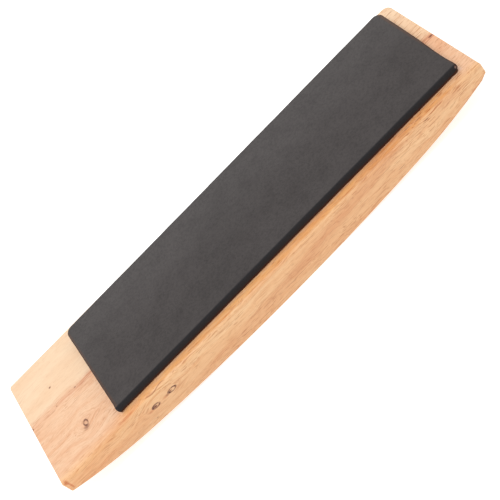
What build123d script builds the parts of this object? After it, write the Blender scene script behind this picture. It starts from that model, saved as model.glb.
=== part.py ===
from build123d import *
import math
import os

# A bench strop for carving tools: a wooden block with a flat top and a curved underside, and
# a leather strip glued to the top. Lengths are in millimetres. X runs along the block from
# the bare grip end to the covered end, Y runs across it and Z is up. The origin is the
# middle of the line that the underside rests on.

# Wooden block
block_length = 212.5
block_width = 60.0
block_thickness = 15.25  # at the middle, from the resting line up to the flat top
crown_radius = 890.0  # the underside's shallow middle stretch
crown_half_length = 68.0  # how far that stretch runs to each side of the middle
tip_radius = 205.0  # the underside's tighter curve up to each end
block_corner_radius = 1.5  # the four upright corners
top_edge_radius = 1.2
underside_edge_radius = 0.8

# Leather strip
strip_length = 173.3
strip_width = 50.6
strip_thickness = 3.8
strip_offset = 13.75  # its middle, from the block's middle towards the covered end
strip_skew = 0.25  # degrees, because it was laid by hand
strip_tip_lean = 0.25  # its covered end was cut out of square by this much at each corner
strip_near_radius = 1.3  # its two corners on the -Y side
strip_grip_radius = 2.5  # its +Y corner at the grip end
strip_tip_radius = 4.0  # its +Y corner at the covered end, trimmed rounder
strip_edge_radius = 0.6  # the burnished edge round the working face

# Adhesive film
glue_thickness = 0.15
glue_inset = 0.5  # how far the film stops inside the strip's outline

# The underside is three arcs that meet in tangents, worked out in the XZ plane.
crown_angle = math.degrees(math.asin(crown_half_length / crown_radius))
join_x = crown_half_length
join_z = crown_radius * (1 - math.cos(math.radians(crown_angle)))
tip_centre_x = join_x - tip_radius * math.sin(math.radians(crown_angle))
tip_centre_z = join_z + tip_radius * math.cos(math.radians(crown_angle))
tip_angle = math.degrees(math.asin((block_length / 2 - tip_centre_x) / tip_radius))
tip_z = tip_centre_z - tip_radius * math.cos(math.radians(tip_angle))
straight_down = 270  # degrees, the direction from an arc's centre to the underside

glue_bottom = block_thickness
strip_bottom = glue_bottom + glue_thickness
skew_direction = (math.cos(math.radians(strip_skew)), math.sin(math.radians(strip_skew)), 0)


def strip_plane(height):
    """The plane that the strip and its glue are drawn on, turned by the skew."""
    return Plane(origin=(strip_offset, 0, height), x_dir=skew_direction, z_dir=(0, 0, 1))


# Block: the side outline is drawn once and extruded both ways across the width.
with BuildPart() as wooden_block:
    with BuildSketch(Plane.XZ) as side_outline:
        with BuildLine():
            CenterArc(
                (0, crown_radius),
                crown_radius,
                straight_down - crown_angle,
                2 * crown_angle,
            )
            covered_tip = CenterArc(
                (tip_centre_x, tip_centre_z),
                tip_radius,
                straight_down + crown_angle,
                tip_angle - crown_angle,
            )
            Polyline(
                covered_tip @ 1,
                (block_length / 2, block_thickness),
                (-block_length / 2, block_thickness),
                (-block_length / 2, tip_z),
            )
            CenterArc(
                (-tip_centre_x, tip_centre_z),
                tip_radius,
                straight_down - tip_angle,
                tip_angle - crown_angle,
            )
        make_face()
    extrude(amount=block_width / 2, both=True)
    fillet(wooden_block.edges().filter_by(Axis.Z), radius=block_corner_radius)
    flat_top = wooden_block.faces().sort_by(Axis.Z)[-1]
    fillet(flat_top.edges(), radius=top_edge_radius)
    # The crown's two long edges carry this rounding on round the whole underside.
    crown_face = wooden_block.faces().sort_by(Axis.Z)[0]
    fillet(crown_face.edges().filter_by(GeomType.CIRCLE), radius=underside_edge_radius)

# The strip's outline, cut by hand: the covered end is a little out of square, and the four
# corners were trimmed differently.
half_length = strip_length / 2
half_width = strip_width / 2
with BuildSketch() as strip_outline:
    with BuildLine():
        Polyline(
            (-half_length, -half_width),
            (half_length - strip_tip_lean, -half_width),
            (half_length + strip_tip_lean, half_width),
            (-half_length, half_width),
            close=True,
        )
    make_face()
    fillet(strip_outline.vertices().group_by(Axis.Y)[0], radius=strip_near_radius)
    grip_corner = strip_outline.vertices().group_by(Axis.Y)[-1].sort_by(Axis.X)[0]
    fillet(grip_corner, radius=strip_grip_radius)
    tip_corner = strip_outline.vertices().group_by(Axis.Y)[-1].sort_by(Axis.X)[-1]
    fillet(tip_corner, radius=strip_tip_radius)

# Strip
with BuildPart() as leather_strip:
    with BuildSketch(strip_plane(strip_bottom)):
        add(strip_outline.sketch)
    extrude(amount=strip_thickness)
    working_face = leather_strip.faces().sort_by(Axis.Z)[-1]
    fillet(working_face.edges(), radius=strip_edge_radius)

# Glue: a film between the two that stops short of the strip's edge.
with BuildPart() as glue_film:
    with BuildSketch(strip_plane(glue_bottom)):
        add(strip_outline.sketch)
        offset(amount=-glue_inset, mode=Mode.REPLACE)
    extrude(amount=glue_thickness)

os.makedirs("parts", exist_ok=True)

wooden_block.part.label = "wooden_block"
export_step(wooden_block.part, "parts/wooden_block.step")

leather_strip.part.label = "leather_strip"
export_step(leather_strip.part, "parts/leather_strip.step")

glue_film.part.label = "glue_film"
export_step(glue_film.part, "parts/glue_film.step")
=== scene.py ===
import math

import bpy
import numpy as np
from mathutils import Matrix, Vector, noise


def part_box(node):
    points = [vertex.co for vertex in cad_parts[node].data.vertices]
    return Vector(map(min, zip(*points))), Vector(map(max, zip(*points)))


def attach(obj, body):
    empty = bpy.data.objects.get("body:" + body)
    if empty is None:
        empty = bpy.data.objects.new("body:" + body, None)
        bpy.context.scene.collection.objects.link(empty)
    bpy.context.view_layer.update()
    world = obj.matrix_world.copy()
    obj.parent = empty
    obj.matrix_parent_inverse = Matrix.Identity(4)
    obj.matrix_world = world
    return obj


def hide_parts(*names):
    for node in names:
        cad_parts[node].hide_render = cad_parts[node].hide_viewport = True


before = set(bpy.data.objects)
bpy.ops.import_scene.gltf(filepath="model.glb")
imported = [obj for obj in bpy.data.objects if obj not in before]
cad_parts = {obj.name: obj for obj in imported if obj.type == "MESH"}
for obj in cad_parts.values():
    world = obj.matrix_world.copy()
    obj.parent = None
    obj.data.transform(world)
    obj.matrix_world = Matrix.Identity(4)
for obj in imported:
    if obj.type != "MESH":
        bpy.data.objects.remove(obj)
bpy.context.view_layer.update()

# A leather strop for carving tools: a wooden block with a curved underside and a black leather
# strip glued to its flat top. The object's lengths are millimetres, turned into metres when a
# mesh is made; the floor's and the light's are metres. X runs from the bare grip end to the
# covered end and Z is up. "Near" is -Y and "far" is +Y.
MM = 0.001

# ---------------------------------------------------------------- sizes of the three pieces

BLOCK_LOW, BLOCK_HIGH = (np.array(corner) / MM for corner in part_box("wooden_block"))
STRIP_LOW, STRIP_HIGH = (np.array(corner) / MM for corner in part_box("leather_strip"))
GLUE_LOW, GLUE_HIGH = (np.array(corner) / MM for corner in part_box("glue_film"))

# A piece's four corners are always listed counter-clockwise, seen from above: near grip, near
# covered, far covered, far grip.
BLOCK_HALF = (BLOCK_HIGH - BLOCK_LOW)[:2] / 2
BLOCK_CORNERS = (0.7, 0.5, 3.2, 1.3)
CROWN_RADIUS = 890.0  # the underside's shallow middle arc
CROWN_HALF_LENGTH = 68.0
TIP_RADIUS = 205.0  # the underside's tighter arc up to each end
TOP_EDGE = 0.7  # edge radii, first of the top's far and end edges
GRIP_NEAR_EDGE = 3.0
COVERED_NEAR_EDGE = 0.9
UNDERSIDE_EDGE = 0.15
COVERED_UNDERSIDE_EDGE = 1.3  # across the covered end, where it was eased more
GRIP_LEAN, COVERED_LEAN = 0.4, 0.2  # how far the far corners lie inside the near ones
TOP_SANDING = 0.03  # the broad waves that sanding leaves, up and down from their middle
UNDERSIDE_SANDING = 0.02
SIDE_SANDING = 0.04

STRIP_HALF = np.array((173.3, 50.6)) / 2
STRIP_CENTRE = np.array((13.75, 0.12))
STRIP_CORNERS = (0.5, 1.9, 3.2, 3.2)
STRIP_SKEW = math.radians(0.25)
STRIP_LEAN = 0.25  # how far out of square its covered end was cut, at each corner
STRIP_GRIP_LEAN = 0.10  # the same at its grip end
STRIP_TAPER = 0.006  # half its growth in width towards the covered end, as a share of its width
STRIP_END_CURVE = 0.33  # how far the cut at the covered end strays inward on the near half
STRIP_RIM = 0.5  # radius of the rounded rim of its working face
STRIP_RIM_WANDER = 0.1  # how far that radius varies
STRIP_WORN_CORNER = 0.2  # how much rounder the rim is worn at the near covered corner
STRIP_PRESSED = 0.04  # how far cutting pressed the face down along its edge
STRIP_HIDE = 0.05  # the hide's broad waves, up and down from their middle
STRIP_FOOT_EDGE = 0.15  # radius of the edge round its underside
CUT_WANDER = 0.10  # how far the knife strayed along the outline
CUT_BULGE = 0.10  # how far the cut wall bulges at mid height
CUT_ROUGHNESS = 0.05  # how far the wall's fibres stand in and out
CORNER_SHARPNESS = 0.9  # of the near covered corner's top: 0 round, 1 square
CORNER_SWELL = 0.4  # how far the near grip corner bulges at mid height

GLUE_INSET = 0.25  # how far inside the strip's outline the film is laid
GLUE_DRAWN_BACK = 0.05  # how far its edge has drawn back from there
GLUE_WANDER = 0.45  # how far that edge may wander, in and out

# ---------------------------------------------------------------- mesh of a rounded slab

FAN = 4  # grid lines on each side of a corner that fan out round its arc
FAN_PITCH = 0.5  # how far apart those lines are


def grid_lines(half, step):
    """Places along one side of a slab's inner rectangle: close together at the corners."""
    corner = [half - FAN_PITCH * k for k in range(FAN)]
    reach = half - FAN_PITCH * FAN
    middle = np.linspace(-reach, reach, 1 + 2 * round(reach / step))
    return np.concatenate([-np.array(corner), middle, corner[::-1]])


def direction(angle):
    return np.array((math.cos(angle), math.sin(angle)))


def outline_points(half, corners, counts):
    """The rounded outline, counter-clockwise from the middle of the near grip corner's arc."""
    signs = ((-1, -1), (1, -1), (1, 1), (-1, 1))
    centres = [np.array(s) * (half - r) for s, r in zip(signs, corners)]
    points = []
    for side, count in enumerate(counts):
        after = (side + 1) % 4
        outward = math.radians(270 + 90 * side)
        start = centres[side] + corners[side] * direction(outward)
        end = centres[after] + corners[after] * direction(outward)
        for k in range(count - 1):
            left = count - 1 - k
            if k < FAN:
                turn = math.radians(45) * (1 - k / FAN)
                points.append(centres[side] + corners[side] * direction(outward - turn))
            elif left < FAN:
                turn = math.radians(45) * (1 - left / FAN)
                points.append(centres[after] + corners[after] * direction(outward + turn))
            else:
                points.append(start + (end - start) * (k - FAN) / (count - 1 - 2 * FAN))
    return np.array(points)


def inset(points, half, corners):
    """How far each point lies inside the rounded outline."""
    near, covered = points[:, 1] < 0, points[:, 0] > 0
    radius = np.where(
        near,
        np.where(covered, corners[1], corners[0]),
        np.where(covered, corners[2], corners[3]),
    )
    gap = half - np.abs(points)
    in_corner = (gap < radius[:, None]).all(axis=1)
    along_arc = radius - np.hypot(*(radius[:, None] - gap).T)
    return np.where(in_corner, along_arc, gap.min(axis=1))


def outward_of(points, half, corners):
    """The direction straight out of the outline at each point."""
    reach = 0.01
    slope = [
        inset(points + step, half, corners) - inset(points - step, half, corners)
        for step in (np.array((reach, 0)), np.array((0, reach)))
    ]
    slope = -np.array(slope).T
    return slope / np.maximum(np.linalg.norm(slope, axis=1), 1e-9)[:, None]


def rounded_drop(depth, radius):
    """How far a rounded edge has fallen at this depth inside the outline."""
    across = np.clip(radius - depth, 0, radius)
    return radius - np.sqrt(radius**2 - across**2)


def slab(name, half, corners, band, step, top, bottom, push, place, wall_rows, rings=9):
    """A closed slab: an even grid in the middle, rings that close up towards the outline, and
    a wall. top and bottom give heights from points and depths, push moves the outline
    outward, and place carries the points to where the piece lies."""
    xs, ys = grid_lines(half[0] - band, step), grid_lines(half[1] - band, step)
    nx, ny = len(xs), len(ys)
    middle = np.array([(x, y) for y in ys for x in xs])
    number = np.arange(nx * ny).reshape(ny, nx)
    loop = np.concatenate(
        [number[0, :-1], number[:-1, -1], number[-1, :0:-1], number[:0:-1, 0]]
    )
    edge = outline_points(half, corners, (nx, ny, nx, ny))
    size = len(loop)
    steps = [(k / rings) ** 2 for k in range(rings)]
    bands = [edge + (middle[loop] - edge) * t for t in steps]
    flat = np.concatenate([middle] + bands)
    depth = np.maximum(inset(flat, half, corners), 0)
    outward = outward_of(flat, half, corners)
    ring_numbers = [len(middle) + size * k + np.arange(size) for k in range(rings)] + [loop]

    quads = [
        (number[j, i], number[j, i + 1], number[j + 1, i + 1], number[j + 1, i])
        for j in range(ny - 1)
        for i in range(nx - 1)
    ]
    for outer, inner in zip(ring_numbers, ring_numbers[1:]):
        for k in range(size):
            after = (k + 1) % size
            quads.append((outer[k], outer[after], inner[after], inner[k]))

    count = len(flat)
    top_z, bottom_z = top(flat, depth), bottom(flat, depth)
    fade = np.exp(-depth / 1.5)[:, None]
    top_xy = flat + outward * fade * push(flat, top_z)[:, None]
    bottom_xy = flat + outward * fade * push(flat, bottom_z)[:, None]
    points = [np.column_stack([top_xy, top_z]), np.column_stack([bottom_xy, bottom_z])]
    depths = [depth, depth]
    faces = list(quads) + [tuple(count + v for v in reversed(quad)) for quad in quads]

    rim = ring_numbers[0]
    rows = [rim]
    for row in range(1, wall_rows):
        t = row / wall_rows
        z = top_z[rim] + (bottom_z[rim] - top_z[rim]) * t
        xy = flat[rim] + outward[rim] * push(flat[rim], z)[:, None]
        rows.append(sum(len(p) for p in points) + np.arange(size))
        points.append(np.column_stack([xy, z]))
        depths.append(np.zeros(size))
    rows.append(count + rim)
    for upper, lower in zip(rows, rows[1:]):
        for k in range(size):
            after = (k + 1) % size
            faces.append((upper[k], lower[k], lower[after], upper[after]))

    points = place(np.concatenate(points)) * MM
    mesh = bpy.data.meshes.new(name)
    mesh.from_pydata(points.tolist(), [], [[int(v) for v in face] for face in faces])
    mesh.polygons.foreach_set("use_smooth", [True] * len(mesh.polygons))
    mesh.attributes.new("inset", "FLOAT", "POINT").data.foreach_set(
        "value", np.concatenate(depths)
    )
    piece = bpy.data.objects.new(name, mesh)
    bpy.context.collection.objects.link(piece)
    return piece


def waves(points, length, seed):
    """Smooth noise from -1 to 1 at each point, with features about as wide as length."""
    shift = Vector((seed * 17.3, seed * 5.1, seed * 9.7))
    padded = np.column_stack([points, np.zeros((len(points), 3 - points.shape[1]))])
    return np.array([noise.noise(Vector(p) + shift) for p in (padded / length).tolist()])


def smoothstep(low, high, value):
    t = np.clip((value - low) / (high - low), 0, 1)
    return t * t * (3 - 2 * t)


# ---------------------------------------------------------------- the wooden block


def underside(x):
    """Height of the underside: a shallow arc with a tighter arc up to each end."""
    x = np.abs(x)
    crown_angle = math.asin(CROWN_HALF_LENGTH / CROWN_RADIUS)
    tip_centre_x = CROWN_HALF_LENGTH - TIP_RADIUS * math.sin(crown_angle)
    crown_rise = CROWN_RADIUS * (1 - math.cos(crown_angle))
    tip_centre_z = crown_rise + TIP_RADIUS * math.cos(crown_angle)
    crown = CROWN_RADIUS - np.sqrt(CROWN_RADIUS**2 - x**2)
    along = np.clip(x - tip_centre_x, 0, TIP_RADIUS)
    tip = tip_centre_z - np.sqrt(TIP_RADIUS**2 - along**2)
    return np.where(x < CROWN_HALF_LENGTH, crown, tip)


def block_top(points, depth):
    """The flat top. Its near edge is eased more towards the grip."""
    x, y = points.T
    along = smoothstep(-85, -20, x)
    near_edge = GRIP_NEAR_EDGE + (COVERED_NEAR_EDGE - GRIP_NEAR_EDGE) * along
    from_end = smoothstep(0.5, 9, BLOCK_HALF[0] - np.abs(x))
    is_near = smoothstep(18, 23, -y) * from_end
    edge = TOP_EDGE + (near_edge - TOP_EDGE) * is_near
    sanding = TOP_SANDING * (waves(points, 24, 1) - 1)
    return BLOCK_HIGH[2] + sanding - rounded_drop(depth, edge)


def block_bottom(points, depth):
    """The curved underside. Its edge is eased more across the covered end."""
    sanding = UNDERSIDE_SANDING * (waves(points, 30, 2) + 1)
    at_end = smoothstep(2.5, 1.0, BLOCK_HALF[0] - points[:, 0])
    edge = UNDERSIDE_EDGE + (COVERED_UNDERSIDE_EDGE - UNDERSIDE_EDGE) * at_end
    return underside(points[:, 0]) + sanding + rounded_drop(depth, edge)


def block_push(points, z):
    """The sides are sanded nearly flat."""
    return SIDE_SANDING * waves(np.column_stack([points, z]), 22, 3)


def block_place(points):
    """The ends were sawn a little out of square."""
    x, y = points[:, 0], points[:, 1]
    lean = np.where(x < 0, GRIP_LEAN, -COVERED_LEAN) * np.abs(x) / BLOCK_HALF[0]
    placed = points.copy()
    placed[:, 0] = x + lean * (y / BLOCK_HALF[1] + 1) / 2
    return placed


def make_block():
    return slab(
        "block",
        BLOCK_HALF,
        BLOCK_CORNERS,
        band=3.6,
        step=2.2,
        top=block_top,
        bottom=block_bottom,
        push=block_push,
        place=block_place,
        wall_rows=7,
    )


# ---------------------------------------------------------------- the leather strip


def strip_place(points):
    """Carries points from the strip's own frame to where it was glued down."""
    x, y = points[:, 0], points[:, 1]
    along = (x + STRIP_HALF[0]) / (2 * STRIP_HALF[0])
    stray = smoothstep(1, 14, -y) * smoothstep(25.5, 19, -y)
    lean = STRIP_GRIP_LEAN + (STRIP_LEAN - STRIP_GRIP_LEAN) * along
    x = x + lean * y / STRIP_HALF[1] - along * STRIP_END_CURVE * stray
    y = y * (1 + STRIP_TAPER * (2 * along - 0.5))
    cos, sin = math.cos(STRIP_SKEW), math.sin(STRIP_SKEW)
    placed = points.copy()
    placed[:, 0] = STRIP_CENTRE[0] + x * cos - y * sin
    placed[:, 1] = STRIP_CENTRE[1] + x * sin + y * cos
    return placed


def strip_top(points, depth):
    """The working face: nearly flat, pressed down a little along its rounded rim."""
    rim = STRIP_RIM + STRIP_RIM_WANDER * waves(points, 5, 4)
    worn_corner = STRIP_HALF * (1, -1)
    rim += STRIP_WORN_CORNER * np.exp(-(((points - worn_corner) ** 2).sum(axis=1)) / 4)
    pressed = STRIP_PRESSED * np.exp(-depth / 2.0)
    hide = STRIP_HIDE * (waves(points, 14, 5) - 1)
    return STRIP_HIGH[2] + hide - pressed - rounded_drop(depth, rim)


def strip_bottom(points, depth):
    """The flat underside, which lies on the glue."""
    return STRIP_LOW[2] + rounded_drop(depth, STRIP_FOOT_EDGE)


def strip_push(points, z):
    """The cut edge: it wanders a little, bulges at mid height and is rough. The near covered
    corner is sharp at the top and round at the foot, and the near grip corner swells."""
    up = np.clip((z - STRIP_LOW[2]) / (STRIP_HIGH[2] - STRIP_LOW[2]), 0, 1)
    mid_height = 4 * up * (1 - up)
    cut = CUT_WANDER * waves(points, 19, 6)
    bulge = CUT_BULGE * mid_height
    fibres = CUT_ROUGHNESS * waves(np.column_stack([points, z]) * (1, 1, 2.5), 1.4, 7)
    radius = STRIP_CORNERS[1]
    along, across = ((points - STRIP_HALF * (1, -1)) * (1, -1) + radius).T
    in_corner = (along > 0) & (across > 0)
    reach = np.hypot(along, across) / np.maximum(np.maximum(along, across), 0.1)
    sharp = np.where(in_corner, CORNER_SHARPNESS * radius * (reach - 1), 0)
    sharp = sharp * smoothstep(0, 0.6, up)
    from_grip_corner = np.hypot(*(points + STRIP_HALF).T)
    swell = CORNER_SWELL * mid_height * smoothstep(1.6, 0.3, from_grip_corner)
    return cut + bulge + fibres - CUT_ROUGHNESS + sharp + swell


def make_strip():
    return slab(
        "leather",
        STRIP_HALF,
        STRIP_CORNERS,
        band=2.2,
        step=1.5,
        top=strip_top,
        bottom=strip_bottom,
        push=strip_push,
        place=strip_place,
        wall_rows=9,
    )


# ---------------------------------------------------------------- the adhesive film


def glue_push(points, z):
    """The film's edge was squeezed out unevenly."""
    return GLUE_WANDER * waves(points, 3.1, 8) - GLUE_DRAWN_BACK


def make_glue():
    """A thin even film whose edge wanders close inside the strip's outline."""
    half = STRIP_HALF - GLUE_INSET
    corners = [radius - GLUE_INSET for radius in STRIP_CORNERS]
    return slab(
        "glue",
        half,
        corners,
        band=2.0,
        step=3.0,
        top=lambda points, depth: GLUE_HIGH[2] + 0 * depth,
        bottom=lambda points, depth: GLUE_LOW[2] + 0 * depth,
        push=glue_push,
        place=strip_place,
        wall_rows=2,
        rings=5,
    )


# ---------------------------------------------------------------- material nodes


class Graph:
    """A material's node tree, with one short call for each kind of node. place is the point in
    millimetres."""

    def __init__(self, name):
        self.material = bpy.data.materials.new(name)
        self.material.use_nodes = True
        self.tree = self.material.node_tree
        self.shader = self.tree.nodes["Principled BSDF"]
        metres = self.node("TexCoord", {})["Object"]
        self.place = self.vector("SCALE", metres, Scale=1 / MM)
        self.normal = self.node("NewGeometry", {})["Normal"]

    def feed(self, socket, value):
        """Links a socket to another, or sets its value."""
        if isinstance(value, bpy.types.NodeSocket):
            self.tree.links.new(value, socket)
        else:
            socket.default_value = value

    def node(self, kind, inputs, **settings):
        node = self.tree.nodes.new("ShaderNode" + kind)
        for name, value in settings.items():
            setattr(node, name, value)
        for key, value in inputs.items():
            self.feed(node.inputs[key], value)
        return node.outputs

    def math(self, operation, *values):
        return self.node("Math", dict(enumerate(values)), operation=operation)[0]

    def add(self, a, b):
        return self.math("ADD", a, b)

    def sub(self, a, b):
        return self.math("SUBTRACT", a, b)

    def mul(self, a, b):
        return self.math("MULTIPLY", a, b)

    def vector(self, operation, *values, **named):
        inputs = {**dict(enumerate(values)), **named}
        outputs = self.node("VectorMath", inputs, operation=operation)
        return outputs["Value"] if operation in ("LENGTH", "DOT_PRODUCT") else outputs["Vector"]

    def parts(self, vector):
        return self.node("SeparateXYZ", {0: vector})[:]

    def join(self, x, y, z):
        return self.node("CombineXYZ", {0: x, 1: y, 2: z})[0]

    def ramp(self, value, low, high, start=0.0, end=1.0):
        """Goes smoothly from start to end as value goes from low to high."""
        inputs = {"Value": value, 1: low, 2: high, 3: start, 4: end}
        return self.node("MapRange", inputs, interpolation_type="SMOOTHSTEP")[0]

    def noise(self, vector, stretch=(1, 1, 1), detail=2.0, roughness=0.5, shift=0.0):
        """Noise from 0 to 1. stretch is how many features there are in a millimetre."""
        inputs = {0: vector, 1: stretch, 2: (shift, shift * 0.7, shift * 1.3)}
        place = self.node("VectorMath", inputs, operation="MULTIPLY_ADD")[0]
        inputs = {"Vector": place, "Scale": 1.0, "Detail": detail, "Roughness": roughness}
        return self.node("TexNoise", inputs)[0]

    def blend(self, amount, a, b, mode="MIX"):
        """Blends two colours."""
        inputs = {0: amount, 6: self.colour(a), 7: self.colour(b)}
        return self.node("Mix", inputs, data_type="RGBA", blend_type=mode)[2]

    def colour(self, value):
        return value if isinstance(value, bpy.types.NodeSocket) else (*value, 1.0)

    def tint(self, colour, amount, by):
        """Multiplies a colour by another, as strongly as amount says."""
        return self.blend(amount, colour, by, "MULTIPLY")

    def bump(self, height, depth):
        """depth is how many millimetres a height of one stands up."""
        inputs = {"Strength": 1.0, "Distance": depth * MM, "Height": height}
        return self.node("Bump", inputs)[0]

    def finish(self, **sockets):
        """Feeds the shader's sockets, named with _ for each space."""
        for name, value in sockets.items():
            self.feed(self.shader.inputs[name.replace("_", " ")], value)
        return self.material


# ---------------------------------------------------------------- wood

# Base colours of the wood.
PALE = (0.772, 0.572, 0.388)
PINK = (0.755, 0.500, 0.325)
AMBER = (0.755, 0.480, 0.258)
ORANGE = (0.760, 0.388, 0.138)

# Tints of the wood, which multiply the colour under them.
RUSSET = (0.91, 0.80, 0.75)
LIGHTER = (1.04, 1.08, 1.11)
WARMER = (1.06, 1.01, 0.96)
DEEPER = (1.0, 0.90, 0.83)
DARK_LINE = (0.66, 0.47, 0.36)
BARK_BROWN = (0.16, 0.07, 0.065)
STAIN = (0.72, 0.42, 0.27)
SPOT_BROWN = (0.26, 0.14, 0.13)
KNOT_FLUSH = (0.92, 0.80, 0.74)
KNOT_MIDDLE = (1.03, 1.07, 1.12)
# Painted shade, low on the near side.
LOW_SIDE_SHADE = (0.965, 0.930, 0.915)
STREAK_HALO = (0.96, 0.87, 0.85)
STREAK_LINE = (0.78, 0.58, 0.52)
RIDGE_LINE = (0.45, 0.25, 0.15)
# Painted light in a pale line beside the strip, offsetting the strip's shade.
PALE_LINE_LIGHT = (1.17, 1.27, 1.46)
END_GRAIN = (0.86, 0.77, 0.68)

# The knots: centre, how far each reaches in x, y and z, how strongly it bends the grain, and
# how dark its ring is.
RING_KNOT = ((-86.3, -15.6, 13.0), (1.35, 1.9, 6.0), 0.75, 0.8)
PIN_KNOT = ((-91.3, 12.5, 14.0), (0.45, 0.4, 4.0), 0.6, 0.0)
SIDE_KNOT_A = ((-62.4, -29.0, 9.8), (2.1, 6.0, 1.15), 0.9, 1.0)
SIDE_KNOT_B = ((-54.0, -29.0, 10.0), (2.3, 6.0, 1.15), 0.9, 1.0)
KNOTS = (RING_KNOT, PIN_KNOT, SIDE_KNOT_A, SIDE_KNOT_B)

# Small dark marks: centre, how far each reaches, and how dark it is.
SPOTS = (
    ((-86.8, -17.6, 14.5), (1.9, 1.6, 2.5), 0.65),
    ((-91.3, 12.5, 14.5), (0.75, 0.65, 3.0), 0.9),
    ((-92.7, 2.1, 15.0), (0.5, 0.5, 1.0), 0.5),
    ((-82.7, 2.4, 15.0), (0.8, 0.6, 1.0), 0.6),
    ((-105.9, 2.2, 15.0), (1.1, 0.8, 3.0), 1.0),
    ((104.9, -1.2, 15.0), (1.6, 0.6, 2.0), 1.0),
    ((-62.8, -30.0, 9.8), (1.4, 2.0, 0.85), 1.0),
    ((-54.9, -30.0, 10.0), (1.2, 2.0, 0.45), 0.9),
    ((-56.6, -30.0, 9.7), (1.4, 2.0, 0.8), 0.4),
    ((-65.6, -30.0, 4.9), (0.8, 2.0, 0.3), 0.6),
    ((76.8, -27.5, 15.0), (2.6, 0.3, 1.0), 0.6),
    ((72.1, -26.8, 15.0), (2.2, 0.3, 1.0), 0.5),
    ((78.9, -30.0, 14.6), (2.0, 1.0, 0.3), 0.5),
    ((61.3, -30.0, 6.4), (2.4, 2.0, 0.25), 0.5),
)

# Warmer brown stains, in the same form.
STAINS = (
    ((-104.7, -29.6, 14.3), (1.3, 1.6, 1.5), 0.9),
    ((-104.3, -30.0, 12.0), (0.6, 1.4, 3.0), 0.8),
    ((-57.6, -30.0, 9.6), (2.0, 2.0, 0.9), 0.5),
    ((-65.0, -30.0, 9.3), (1.6, 2.0, 0.8), 0.5),
    ((-72.0, -28.6, 15.0), (6.0, 0.6, 1.0), 0.5),
    ((40.0, -28.3, 15.0), (5.0, 0.4, 1.0), 0.6),
    ((-20.0, -28.5, 15.0), (6.0, 0.4, 1.0), 0.5),
)

# Broad patches of the wood: centre, how far each reaches, its tint and how strong it is.
DRIFTS = (
    ((-16.0, -30.0, 11.5), (26.0, 6.0, 4.0), LIGHTER, 0.5),
    ((72.0, -30.0, 8.5), (13.0, 6.0, 6.0), LIGHTER, 1.0),
    ((91.0, -30.0, 13.5), (10.0, 5.0, 2.6), RUSSET, 0.6),
    ((-66.0, -30.0, 9.6), (9.0, 5.0, 2.0), RUSSET, 0.5),
    ((-30.0, -30.0, 4.6), (30.0, 5.0, 2.0), RUSSET, 0.3),
    ((-80.0, -30.0, 6.0), (22.0, 5.0, 3.0), RUSSET, 0.4),
    ((-100.0, -31.0, 12.0), (32.0, 4.5, 12.0), DEEPER, 1.0),
    ((103.0, -9.0, 15.0), (7.0, 13.0, 4.0), RUSSET, 0.4),
    ((103.0, 22.0, 15.0), (7.0, 10.0, 4.0), LIGHTER, 0.8),
    ((104.0, 0.0, 15.0), (9.0, 34.0, 6.0), WARMER, 1.0),
)


def closeness(g, centre, reach, inner=0.3, outer=1.0, rough=0.3):
    """1 at a place, falling to 0 at its ragged edge."""
    offset = g.vector("DIVIDE", g.vector("SUBTRACT", g.place, centre), reach)
    apart = g.vector("LENGTH", offset)
    ragged = g.mul(g.sub(g.noise(g.place, (1.0, 2.6, 2.6), 2, 0.6, shift=7.0), 0.5), rough * 2)
    return g.ramp(g.add(apart, ragged), inner, outer, 1.0, 0.0)


def bent_grain(g):
    """Object places with the grain gently swaying and bent round each knot."""
    sway = g.sub(g.noise(g.place, (0.06, 0.09, 0.09), 2, 0.5, shift=17.0), 0.5)
    sway = g.mul(sway, 4.5)
    place = g.vector("ADD", g.place, g.join(0.0, sway, sway))
    for centre, reach, strength, ring in KNOTS:
        offset = g.vector("SUBTRACT", g.place, centre)
        wide = tuple(3.8 * size for size in reach)
        apart = g.vector("LENGTH", g.vector("DIVIDE", offset, wide))
        nearness = g.math("EXPONENT", g.mul(g.mul(apart, apart), -1.0))
        x, y, z = g.parts(offset)
        pull = g.vector("SCALE", g.join(0.0, y, z), Scale=g.mul(nearness, -strength))
        place = g.vector("ADD", place, pull)
    return place


def growth_rings(g, place):
    """Growth rings round a pith that lies below the block: 0 in a ring's early wood, rising to
    1 at its late edge."""
    pith_y, pith_z, spacing, run_out = 16.0, -38.0, 3.4, 0.03
    x, y, z = g.parts(place)
    drift = g.noise(place, (0.012, 0.05, 0.05), 3, 0.55, shift=1.0)
    rise = g.sub(g.sub(z, pith_z), g.mul(x, run_out))
    radius = g.vector("LENGTH", g.join(0.0, g.sub(y, pith_y), rise))
    turn = g.math("FRACT", g.math("DIVIDE", g.add(radius, g.mul(drift, 15.0)), spacing))
    return g.mul(g.math("POWER", turn, 2.5), g.ramp(turn, 0.93, 1.0, 1.0, 0.0))


def grain_lines(g, place):
    """Thin broken lines that flow with the grain: 1 on a line."""
    flow = g.noise(place, (0.010, 0.15, 0.18), 2.5, 0.5, shift=13.0)
    turn = g.math("FRACT", g.mul(flow, 24.0))
    line = g.ramp(g.math("ABSOLUTE", g.sub(turn, 0.5)), 0.0, 0.24, 1.0, 0.0)
    broken = g.ramp(g.noise(place, (0.10, 0.7, 0.8), 2, 0.5, shift=14.0), 0.42, 0.60)
    return g.mul(line, broken)


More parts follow.
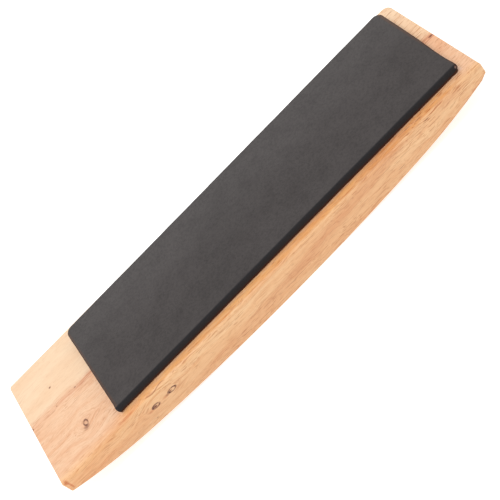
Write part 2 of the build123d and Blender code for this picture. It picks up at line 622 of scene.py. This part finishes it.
def mineral_streak(g, place):
    """The streak that runs the length of the block: its halo, its thin lines, its side."""
    x, y, z = g.parts(place)
    line = g.sub(y, g.add(g.mul(x, -0.0215), 1.02))
    wander = g.noise(place, (0.05, 0.0, 0.05), 2, 0.5, shift=6.0)
    line = g.add(line, g.mul(g.sub(wander, 0.5), 1.0))
    apart = g.math("ABSOLUTE", line)
    halo = g.ramp(apart, 0.3, 3.0, 1.0, 0.0)
    split = g.noise(g.join(g.mul(x, 0.06), g.mul(line, 2.8), g.mul(z, 0.3)), detail=3.0)
    lines = g.mul(g.ramp(split, 0.50, 0.60), g.ramp(apart, 0.8, 2.6, 1.0, 0.0))
    core = g.ramp(apart, 0.05, 0.40, 1.0, 0.0)
    patches = g.ramp(g.noise(g.join(g.mul(x, 0.13), 0.0, 0.0), shift=2.0), 0.45, 0.60)
    return halo, g.math("MAXIMUM", lines, g.mul(core, patches)), line


def margin_mask(g, place, wander):
    """Where the near margin beside the leather is a deeper orange: 1 inside."""
    x, y, z = place
    edge = g.noise(g.join(g.mul(x, 0.09), 0.0, 0.0), detail=3, roughness=0.6, shift=3.0)
    inward = g.add(g.add(y, g.mul(g.sub(edge, 0.5), 2.0)), g.mul(wander, 0.08))
    near = g.mul(g.ramp(inward, -29.5, -28.3), g.ramp(y, -26.0, -24.0, 1.0, 0.0))
    along = g.mul(g.ramp(x, -79.0, -70.0), g.ramp(x, 88.0, 102.0, 1.0, 0.0))
    blotches = g.noise(g.place, (0.14, 0.9, 0.9), 3, 0.6, shift=15.0)
    return g.mul(g.mul(near, along), g.ramp(blotches, 0.34, 0.60, 0.58, 1.0))


def beside_strip(g, place):
    """How far a place lies outside the strip's outline."""
    x, y, z = place
    along = g.add(g.sub(x, STRIP_CENTRE[0]), g.mul(y, STRIP_SKEW))
    across = g.sub(g.sub(y, STRIP_CENTRE[1]), g.mul(g.sub(x, STRIP_CENTRE[0]), STRIP_SKEW))
    past_end = g.sub(g.math("ABSOLUTE", along), STRIP_HALF[0])
    past_side = g.sub(g.math("ABSOLUTE", across), STRIP_HALF[1])
    return g.math("MAXIMUM", past_end, past_side)


def ridge_line(g, place):
    """A dark hairline that waves along the near ridge above the side knots."""
    x, y, z = place
    wave = g.math("COSINE", g.mul(g.add(x, 59.6), 0.63))
    apart = g.math("ABSOLUTE", g.sub(y, g.add(g.mul(wave, -0.35), -28.8)))
    along = g.mul(g.ramp(x, -64.5, -61.5), g.ramp(x, -57.5, -51.0, 1.0, 0.0))
    return g.mul(g.ramp(apart, 0.0, 0.30, 1.0, 0.0), along)


def ground_colour(g, spot, streak_side, wander):
    """Paler beyond the streak, pinker before it, amber on the near side and orange in the
    near margin, with broad patches over that."""
    x, y, z = spot
    colour = g.blend(g.ramp(streak_side, -1.5, 3.0), PINK, PALE)
    near = g.ramp(g.add(y, g.mul(wander, 0.35)), -30.0, -25.0, 1.0, 0.0)
    colour = g.blend(near, colour, AMBER)
    colour = g.blend(g.mul(margin_mask(g, spot, wander), 0.92), colour, ORANGE)
    for centre, reach, tint, amount in DRIFTS:
        patch = closeness(g, centre, reach, 0.2, 1.1, rough=0.5)
        colour = g.tint(colour, g.mul(patch, amount), tint)
    return colour


def add_knots(g, colour):
    """Knots: a dark ring, a paler middle and a flush of brown around. Then the small marks."""
    for centre, reach, strength, ring in KNOTS:
        whole = closeness(g, centre, reach, 0.85, 1.10, rough=0.12)
        middle = closeness(g, centre, reach, 0.45, 0.72, rough=0.12)
        around = closeness(g, centre, reach, 0.8, 2.4, rough=0.4)
        worn = g.ramp(g.noise(g.place, (0.8, 0.8, 1.4), 1, shift=16.0), 0.38, 0.54, 0.5, 1.0)
        colour = g.tint(colour, g.mul(around, 0.3), KNOT_FLUSH)
        colour = g.tint(colour, g.mul(middle, ring), KNOT_MIDDLE)
        band = g.mul(g.sub(whole, middle), worn)
        colour = g.tint(colour, g.mul(band, ring), BARK_BROWN)
    for centre, reach, darkness in SPOTS:
        spot = closeness(g, centre, reach)
        colour = g.tint(colour, g.mul(spot, darkness), SPOT_BROWN)
    for centre, reach, darkness in STAINS:
        colour = g.tint(colour, g.mul(closeness(g, centre, reach), darkness), STAIN)
    return colour


def add_figure(g, colour, place, band, fibre, fine, pores, figured):
    """Broad drifts, bands, growth rings, fibres, threads and pores."""
    cloud = g.noise(place, (0.02, 0.09, 0.12), 2, 0.5, shift=11.0)
    rings = growth_rings(g, place)
    colour = g.tint(colour, g.ramp(cloud, 0.35, 0.70, 0.0, 0.7), (0.97, 0.90, 0.85))
    bands = g.mul(g.ramp(band, 0.42, 0.70, 0.0, 0.8), figured)
    colour = g.tint(colour, bands, (0.95, 0.86, 0.80))
    colour = g.tint(colour, g.mul(rings, g.mul(figured, 0.5)), (0.93, 0.80, 0.72))
    fibres = g.mul(g.ramp(fibre, 0.46, 0.75, 0.0, 0.7), figured)
    colour = g.tint(colour, fibres, (0.92, 0.83, 0.76))
    threads = g.mul(g.ramp(fine, 0.45, 0.80, 0.0, 0.6), figured)
    colour = g.tint(colour, threads, (0.88, 0.80, 0.74))
    return g.tint(colour, g.mul(pores, g.mul(figured, 0.55)), (0.66, 0.52, 0.43))


def add_hairlines(g, colour, place, spot, figured):
    """Dark vessels and flowing lines, busier at the covered end and on the near side. Painted
    shade also makes the near side a little darker low down."""
    x, y, z = spot
    on_side = g.ramp(y, -29.5, -25.0, 1.0, 0.0)
    # Painted shade: the near side is a little darker low down.
    low = g.mul(g.ramp(z, 7.5, 10.5, 1.0, 0.0), on_side)
    colour = g.tint(colour, low, LOW_SIDE_SHADE)
    vessels = g.ramp(g.noise(place, (0.13, 2.3, 2.7), 1.5, 0.5, shift=9.0), 0.58, 0.65)
    patchy = g.ramp(g.noise(place, (0.03, 0.12, 0.15), 2, 0.5, shift=12.0), 0.38, 0.62)
    busy = g.add(g.add(g.mul(patchy, 0.35), 0.15), g.ramp(x, 40.0, 95.0, 0.0, 0.45))
    from_middle = g.math("ABSOLUTE", g.sub(z, 8.5))
    busy = g.add(busy, g.mul(on_side, g.ramp(from_middle, 1.5, 4.0, 0.0, 0.25)))
    colour = g.tint(colour, g.mul(vessels, g.mul(busy, figured)), DARK_LINE)
    flowing = g.add(0.22, g.mul(on_side, g.ramp(x, 20.0, 80.0, 0.3, 0.55)))
    flowing = g.mul(flowing, figured)
    return g.tint(colour, g.mul(grain_lines(g, place), flowing), (0.78, 0.60, 0.48))


def add_russet_band(g, colour, spot, wander):
    """A russet band climbs across the near side and into the wood."""
    x, y, z = spot
    climb = g.sub(g.sub(z, g.mul(x, 0.125)), 6.6)
    band = g.ramp(g.math("ABSOLUTE", g.add(climb, g.mul(wander, 0.7))), 0.8, 4.0, 1.0, 0.0)
    band = g.mul(band, g.ramp(y, -27.0, -20.0, 1.0, 0.0))
    along = g.mul(g.ramp(x, -25.0, 25.0, 0.2, 1.0), g.ramp(x, 58.0, 72.0, 1.0, 0.2))
    return g.tint(colour, g.mul(band, along), RUSSET)


def add_streak(g, colour, x, halo, lines):
    """The mineral streak's halo and lines, both fainter towards the grip end."""
    colour = g.tint(colour, g.mul(halo, g.ramp(x, -84.0, -60.0, 0.3, 0.5)), STREAK_HALO)
    dark = g.add(g.ramp(x, -90.0, -76.0, 0.5, 0.95), g.ramp(x, 20.0, 90.0, 0.0, 0.05))
    return g.tint(colour, g.mul(lines, dark), STREAK_LINE)


def add_pale_line(g, colour, spot, fibre):
    """Painted light borders the strip, on the top face only: a broad lift and a pale line that
    offset the shade the strip casts on the wood beside it.
    """
    x, y, z = spot
    apart = beside_strip(g, spot)
    on_top = g.ramp(z, 13.0, 14.5)
    # Painted light: a broad lift near the strip that offsets its shade.
    painted_lift = g.mul(g.ramp(apart, 0.5, 5.0, 1.0, 0.0), on_top)
    colour = g.tint(colour, painted_lift, (1.03, 1.02, 1.03))
    # Painted light: a pale line right beside the strip.
    painted_line = g.mul(g.ramp(apart, 0.35, 1.0, 1.0, 0.0), g.ramp(fibre, 0.3, 0.6, 1.0, 0.75))
    painted_line = g.mul(painted_line, on_top)
    painted_line = g.mul(painted_line, g.ramp(y, -26.0, -25.0, 0.7, 1.0))
    return g.tint(colour, painted_line, PALE_LINE_LIGHT)


def add_end_grain(g, colour):
    """End grain looks darker."""
    normal_x, normal_y, normal_z = g.parts(g.normal)
    return g.tint(colour, g.ramp(g.math("ABSOLUTE", normal_x), 0.55, 0.95), END_GRAIN)


def wood_material():
    """Sanded hardwood: a base colour, then one tint after another."""
    g = Graph("wood")
    place = bent_grain(g)
    spot = g.parts(g.place)
    halo, streak_lines, streak_side = mineral_streak(g, place)
    band = g.noise(place, (0.032, 0.30, 0.42), 3, 0.55, shift=2.0)
    fibre = g.noise(place, (0.12, 1.5, 1.9), 3, 0.6, shift=4.0)
    fine = g.noise(place, (0.28, 6.0, 6.0), 2, 0.5, shift=5.0)
    pores = g.ramp(g.noise(place, (0.30, 4.2, 4.2), 1, 0.5, shift=8.0), 0.63, 0.74)
    wander = g.mul(g.sub(band, 0.5), 7.0)

    # Beyond the streak the wood is plainer, most of all on the grip.
    on_grip = g.ramp(spot[0], -75.0, 10.0, 1.0, 0.0)
    plain = g.mul(g.ramp(streak_side, 0.5, 4.0), g.add(0.1, g.mul(on_grip, 0.45)))
    figured = g.sub(1.0, plain)

    colour = ground_colour(g, spot, streak_side, wander)
    colour = add_figure(g, colour, place, band, fibre, fine, pores, figured)
    colour = add_hairlines(g, colour, place, spot, figured)
    colour = add_russet_band(g, colour, spot, wander)
    colour = add_streak(g, colour, spot[0], halo, streak_lines)
    colour = add_knots(g, colour)
    colour = g.tint(colour, g.mul(ridge_line(g, spot), 0.85), RIDGE_LINE)
    colour = add_pale_line(g, colour, spot, fibre)
    colour = add_end_grain(g, colour)

    roughness = g.ramp(g.add(g.mul(fine, 0.6), g.mul(band, 0.4)), 0.3, 0.7, 0.42, 0.56)
    relief = g.sub(g.add(g.mul(fibre, 0.5), g.mul(fine, 0.5)), pores)
    return g.finish(
        Base_Color=colour,
        Roughness=roughness,
        Normal=g.bump(relief, 0.03),
        Specular_IOR_Level=0.35,
    )


# ---------------------------------------------------------------- leather and glue


# The hide's working face: two shades of its clouds, a painted sheen that makes the far side
# paler, light scuffs, and the blacker rim along the sides.
HIDE_DARK = (0.0513, 0.0447, 0.0432)
HIDE_LIGHT = (0.0581, 0.0506, 0.0491)
HIDE_FAR_SHEEN = (0.105, 0.098, 0.096)
HIDE_SCUFF = (0.13, 0.12, 0.115)
RIM_BLACK = (0.026, 0.021, 0.021)

# The cut wall: two shades of dye, the covered end's dye, and the flesh side at the foot.
WALL_DARK = (0.012, 0.0125, 0.0145)
WALL_LIGHT = (0.021, 0.0200, 0.0225)
WALL_COVERED_END = (0.045, 0.018, 0.010)
FLESH_BROWN = (0.070, 0.016, 0.003)

# Bare fibres at the near covered corner: centre, how far they reach, and their colour.
FRAYED = ((99.4, -24.8, 17.9), (0.55, 0.8, 0.9))
FRAYED_FIBRES = (0.24, 0.15, 0.13)


def face_colour(g, y, pebbles, mottle):
    """Charcoal with soft clouds, fine pebbles and scuffs, and a painted sheen that makes it paler
    towards the far side.
    """
    clouds = g.noise(g.place, (0.03, 0.04, 0.04), 2, 0.5, shift=3.0)
    scuffs = g.ramp(g.noise(g.place, (0.9, 0.16, 0.3), 3, 0.6, shift=4.0), 0.62, 0.78)
    colour = g.blend(g.ramp(clouds, 0.3, 0.7), HIDE_DARK, HIDE_LIGHT)
    # Painted sheen: the face grows paler towards the far side.
    colour = g.blend(g.ramp(y, -12.0, 27.0, 0.0, 0.36), colour, HIDE_FAR_SHEEN)
    colour = g.tint(colour, g.ramp(mottle, 0.35, 0.7, 0.0, 0.5), (0.86, 0.86, 0.87))
    colour = g.tint(colour, g.ramp(pebbles, 0.35, 0.75, 0.0, 0.9), (0.72, 0.72, 0.73))
    return g.blend(g.mul(scuffs, 0.10), colour, HIDE_SCUFF)


def add_rim(g, colour, x, y, depth, pebbles):
    """The dye is thinner and browner along the two cut ends, and blacker along the sides."""
    along = g.add(g.sub(x, STRIP_CENTRE[0]), g.mul(y, STRIP_SKEW))
    to_end = g.sub(STRIP_HALF[0], g.math("ABSOLUTE", along))
    brown = g.mul(g.ramp(to_end, 0.5, 1.5, 1.0, 0.0), g.ramp(pebbles, 0.3, 0.6, 0.75, 1.0))
    colour = g.tint(colour, brown, (1.50, 1.02, 0.78))
    black = g.mul(g.ramp(depth, 0.3, 0.7, 1.0, 0.0), g.ramp(to_end, 0.5, 1.5))
    return g.blend(g.mul(black, 0.5), colour, RIM_BLACK)


def add_wall(g, colour, x, z, wall, strands):
    """The cut wall is dyed nearly black, and its undyed flesh side shows brown at the foot."""
    dyed = g.blend(strands, WALL_DARK, WALL_LIGHT)
    dyed = g.blend(g.mul(g.ramp(x, 98.9, 99.9), 0.8), dyed, WALL_COVERED_END)
    colour = g.blend(wall, colour, dyed)
    height = g.add(z, g.mul(g.sub(strands, 0.5), 0.9))
    foot = STRIP_LOW[2]
    flesh = g.mul(g.ramp(height, foot + 0.2, foot + 1.3, 1.0, 0.0), wall)
    return g.blend(flesh, colour, FLESH_BROWN)


def leather_material():
    """Matte black leather. depth is each point's distance inside the strip's outline."""
    g = Graph("leather")
    x, y, z = g.parts(g.place)
    depth = g.node("Attribute", {}, attribute_name="inset")["Fac"]
    grain = g.node("TexVoronoi", {"Vector": g.place, "Scale": 1.9}, feature="DISTANCE_TO_EDGE")[0]
    pebbles = g.noise(g.place, (1.1, 1.1, 1.1), 4, 0.6, shift=1.0)
    mottle = g.noise(g.place, (0.12, 0.12, 0.12), 3, 0.6, shift=2.0)
    strands = g.noise(g.place, (0.7, 0.7, 5.0), 3, 0.6, shift=5.0)
    wall = g.ramp(depth, 0.05, 0.45, 1.0, 0.0)

    colour = face_colour(g, y, pebbles, mottle)
    colour = add_rim(g, colour, x, y, depth, pebbles)
    colour = add_wall(g, colour, x, z, wall, strands)
    colour = g.blend(g.mul(closeness(g, *FRAYED), 0.8), colour, FRAYED_FIBRES)

    roughness = g.ramp(g.add(mottle, g.mul(wall, 0.6)), 0.3, 0.9, 0.60, 0.78)
    relief = g.add(g.mul(g.ramp(grain, 0.0, 0.25), 0.6), g.mul(pebbles, 1.1))
    relief = g.add(relief, g.mul(g.mul(strands, wall), 2.0))
    return g.finish(
        Base_Color=colour,
        Roughness=roughness,
        Normal=g.bump(relief, 0.05),
        Specular_IOR_Level=0.2,
    )


def glue_material():
    """Dried contact adhesive, smeared and dark brown."""
    g = Graph("glue")
    smear = g.noise(g.place, (0.6, 0.6, 0.6), 3, 0.6)
    colour = g.blend(smear, (0.030, 0.014, 0.007), (0.075, 0.036, 0.018))
    return g.finish(
        Base_Color=colour,
        Roughness=g.ramp(smear, 0.3, 0.7, 0.25, 0.45),
        Normal=g.bump(smear, 0.04),
    )


def floor_material():
    """Plain pale floor that glows a little, so it stays white under soft light."""
    g = Graph("floor")
    speckle = g.noise(g.place, (0.05, 0.05, 0.05), 2, 0.5)
    colour = g.blend(speckle, (0.60, 0.60, 0.60), (0.62, 0.62, 0.62))
    return g.finish(
        Base_Color=colour,
        Roughness=0.9,
        Emission_Color=(1.0, 1.0, 1.0, 1.0),
        Emission_Strength=0.66,
    )


# ---------------------------------------------------------------- floor, light and camera

CAMERA_AZIMUTH = math.radians(2.617)
CAMERA_ELEVATION = math.radians(43.223)
CAMERA_ROLL = math.radians(47.109)
CAMERA_DISTANCE = 440.72
CAMERA_TARGET = Vector((1.357, -13.20, 15.25))
SENSOR = 36.0
LENS = 86.4

FLOOR_HALF = 3.0  # metres, as are the light's place and size
KEY_PLACE = (-0.25, 0.05, 1.40)
KEY_POWER = 10.5
KEY_SIZE = 0.9
WORLD_STRENGTH = 0.88


def make_floor():
    half = FLOOR_HALF
    corners = [(-half, -half, 0), (half, -half, 0), (half, half, 0), (-half, half, 0)]
    mesh = bpy.data.meshes.new("floor")
    mesh.from_pydata(corners, [], [(0, 1, 2, 3)])
    mesh.materials.append(floor_material())
    floor = bpy.data.objects.new("floor", mesh)
    bpy.context.collection.objects.link(floor)


def make_light(name, place, power, size):
    """A soft square light that faces the object."""
    lamp = bpy.data.lights.new(name, "AREA")
    lamp.energy = power
    lamp.size = size
    light = bpy.data.objects.new(name, lamp)
    light.location = place
    light.rotation_euler = Vector(place).to_track_quat("Z", "Y").to_euler()
    bpy.context.collection.objects.link(light)


def make_lighting():
    """An even white studio with one soft light above."""
    world = bpy.data.worlds.new("studio")
    bpy.context.scene.world = world
    world.use_nodes = True
    background = world.node_tree.nodes["Background"]
    background.inputs["Color"].default_value = (1.0, 1.0, 1.0, 1.0)
    background.inputs["Strength"].default_value = WORLD_STRENGTH
    make_light("key", KEY_PLACE, KEY_POWER, KEY_SIZE)


def make_camera():
    """Looks at the target from the near side and above, rolled about its own axis."""
    cos_up, sin_up = math.cos(CAMERA_ELEVATION), math.sin(CAMERA_ELEVATION)
    back = Vector(
        (math.sin(CAMERA_AZIMUTH) * cos_up, -math.cos(CAMERA_AZIMUTH) * cos_up, sin_up)
    )
    level = (-back).cross(Vector((0, 0, 1))).normalized()
    upright = level.cross(-back)
    cos, sin = math.cos(CAMERA_ROLL), math.sin(CAMERA_ROLL)
    right = cos * level - sin * upright
    up = sin * level + cos * upright
    turn = Matrix((right, up, back)).transposed().to_4x4()
    lens = bpy.data.cameras.new("camera")
    lens.sensor_width = SENSOR
    lens.lens = LENS
    camera = bpy.data.objects.new("camera", lens)
    place = (CAMERA_TARGET + CAMERA_DISTANCE * back) * MM
    camera.matrix_world = Matrix.Translation(place) @ turn
    bpy.context.collection.objects.link(camera)
    bpy.context.scene.camera = camera


# ---------------------------------------------------------------- putting it together


def show(piece, material, node):
    """Finishes a piece and lets it stand for its CAD node."""
    piece.data.materials.append(material)
    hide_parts(node)
    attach(piece, "root")


show(make_block(), wood_material(), "wooden_block")
show(make_strip(), leather_material(), "leather_strip")
show(make_glue(), glue_material(), "glue_film")
make_floor()
make_lighting()
make_camera()
bpy.context.scene.view_settings.view_transform = "Standard"
